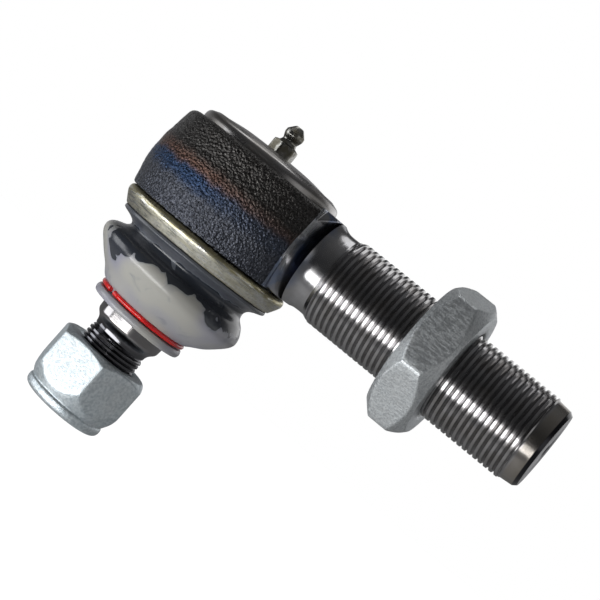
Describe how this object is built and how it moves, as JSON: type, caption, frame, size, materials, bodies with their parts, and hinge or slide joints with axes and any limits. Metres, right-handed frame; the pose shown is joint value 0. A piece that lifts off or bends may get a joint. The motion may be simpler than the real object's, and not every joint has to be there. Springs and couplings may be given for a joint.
{
  "type": "tie rod end",
  "caption": "Heavy-duty tie rod end: a greased ball stud in a forged socket with a threaded shank, dust boot, jam nut and self-locking stud nut.",
  "frame": {"origin": "where the socket's axis crosses the threaded shank's axis", "axes": "+X along the shank towards its free end, +Z along the socket's axis out of the cap, so the stud hangs towards -Z, +Y completes a right-handed frame"},
  "size_m": [0.1505, 0.0626, 0.1139],
  "materials": {
    "black_forging": "black oxide over a forged skin, with machined bare ends",
    "bare_steel": "turned bare steel",
    "bright_zinc": "bright zinc plate",
    "yellow_zinc": "yellow passivated zinc plate",
    "spring_steel": "oiled spring steel",
    "bearing_plastic": "moulded bearing plastic",
    "grey_rubber": "translucent grey rubber with grease behind it",
    "red_plastic": "glossy red coating",
    "nylon": "moulded nylon",
    "black_seal": "black sealing rubber"
  },
  "bodies": {
    "housing": {"socket_housing": "black_forging", "end_cap": "bare_steel", "cap_seal_ring": "black_seal", "grease_nipple_body": "bare_steel", "nipple_spring": "spring_steel", "preload_spring": "spring_steel", "pressure_ring": "spring_steel", "dust_boot": "grey_rubber", "boot_clamp_ring": "yellow_zinc"},
    "bearing": {"upper_bearing_seat": "bearing_plastic", "lower_bearing_seat": "bearing_plastic"},
    "boot_lip": {"boot_retaining_ring": "red_plastic"},
    "stud": {"ball_stud": "bare_steel"},
    "stud_nut": {"stud_nut": "bright_zinc", "stud_nut_insert": "nylon"},
    "jam_nut": {"jam_nut": "bright_zinc"},
    "nipple_ball": {"nipple_check_ball": "spring_steel"}
  },
  "joints": [
    {"name": "swing_direction", "type": "hinge", "parent": "housing", "child": "bearing", "pos_m": [0, 0, -0.004], "axis": [0, 0, 1], "continuous": true},
    {"name": "stud_swing", "type": "hinge", "parent": "bearing", "child": "boot_lip", "pos_m": [0, 0, -0.004], "axis": [0, 1, 0], "range_deg": [-22.9, 17.1], "deforming": ["dust_boot"]},
    {"name": "stud_spin", "type": "hinge", "parent": "boot_lip", "child": "stud", "pos_m": [0, 0, -0.004], "axis": [0.0506, 0, 0.9987], "continuous": true},
    {"name": "stud_nut_turn", "type": "hinge", "parent": "stud", "child": "stud_nut", "pos_m": [-0.0029, 0, -0.06133], "axis": [0.0506, 0, 0.9987], "continuous": true},
    {"name": "jam_nut_travel", "type": "slide", "parent": "housing", "child": "jam_nut", "axis": [1, 0, 0], "range_m": [-0.028, 0.028]},
    {"name": "check_ball_travel", "type": "slide", "parent": "housing", "child": "nipple_ball", "axis": [0, 0, -1], "range_m": [0, 0.0008], "stiffness_N_per_m": 400, "springref_m": -0.0004, "deforming": ["nipple_spring"]}
  ]
}
